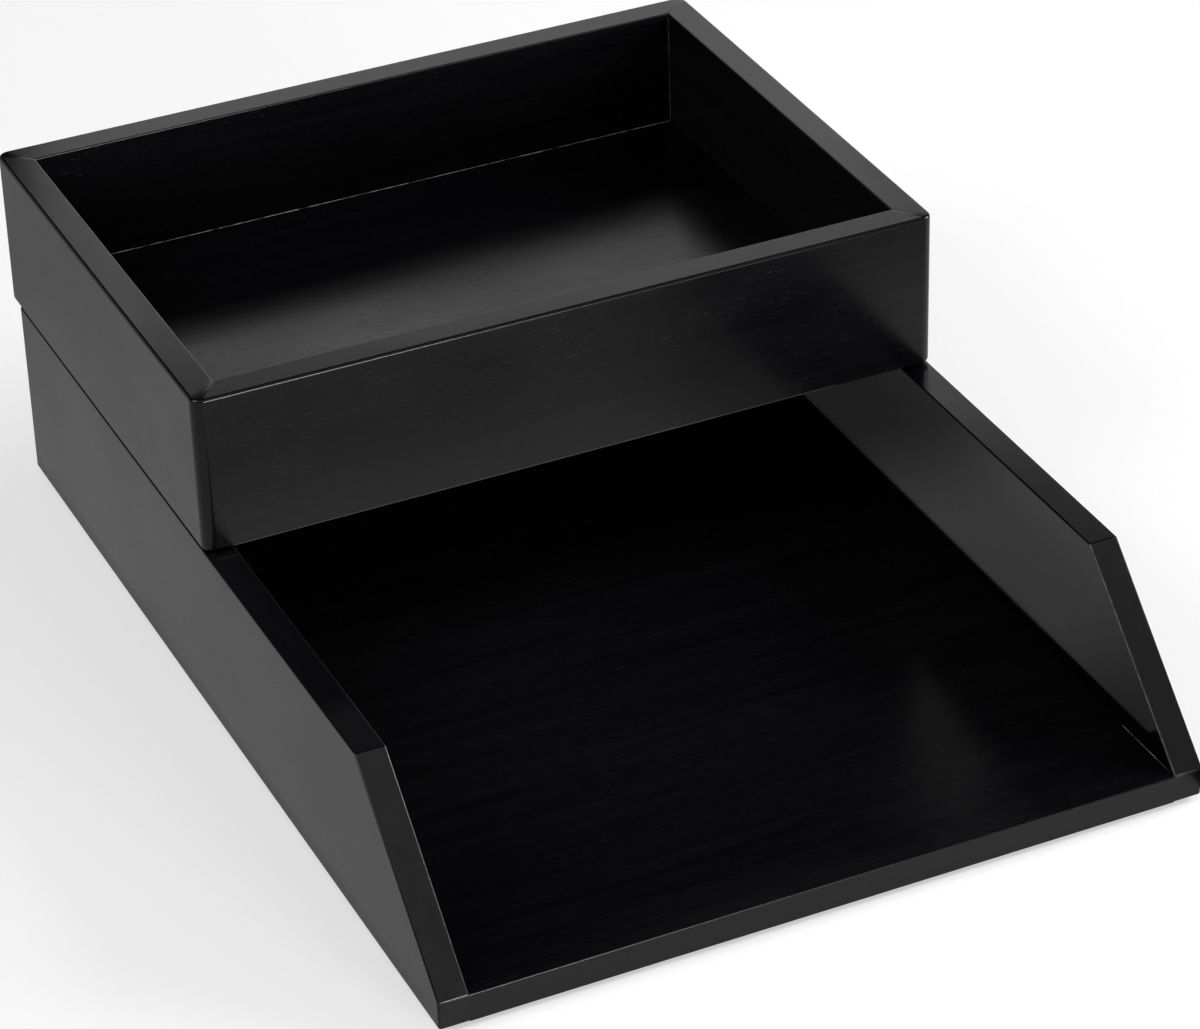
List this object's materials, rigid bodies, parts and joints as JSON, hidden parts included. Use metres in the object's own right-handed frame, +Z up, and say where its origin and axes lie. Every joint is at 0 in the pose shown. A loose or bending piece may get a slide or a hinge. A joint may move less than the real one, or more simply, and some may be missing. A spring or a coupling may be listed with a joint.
{
  "type": "letter tray with stacked supply box",
  "caption": "Open-front letter tray with slanted side ends, and a shallow open-topped supply box that rests on its rear half; mitred black stained wood boards.",
  "frame": {"origin": "on the table, under the middle of the whole stack's box", "axes": "+X to the right, +Y to the rear, away from the letter tray's open front, +Z up"},
  "size_m": [0.2468, 0.3468, 0.116],
  "materials": {
    "stained_wood": "black stained open-grain hardwood with a satin lacquer",
    "beech_tenon": "bare planed beech",
    "black_felt": "pressed wool felt"
  },
  "bodies": {
    "letter_tray": {"tray_base_board": "stained_wood", "tray_left_side": "stained_wood", "tray_right_side": "stained_wood", "tray_back_panel": "stained_wood", "tray_tenon_rear_left": "beech_tenon", "tray_tenon_rear_right": "beech_tenon", "tray_foot_front_left": "black_felt", "tray_foot_front_right": "black_felt", "tray_foot_rear_left": "black_felt", "tray_foot_rear_right": "black_felt"},
    "supply_box": {"box_front_wall": "stained_wood", "box_rear_wall": "stained_wood", "box_left_wall": "stained_wood", "box_right_wall": "stained_wood", "box_floor_panel": "stained_wood", "box_tenon_front_left": "beech_tenon", "box_tenon_front_right": "beech_tenon", "box_tenon_rear_left": "beech_tenon", "box_tenon_rear_right": "beech_tenon", "box_pad_front_left": "black_felt", "box_pad_front_right": "black_felt", "box_pad_rear_left": "black_felt", "box_pad_rear_right": "black_felt"}
  },
  "joints": [
    {"name": "box_lift", "type": "slide", "parent": "letter_tray", "child": "supply_box", "axis": [0, 0, 1], "range_m": [0, 0.12]}
  ]
}
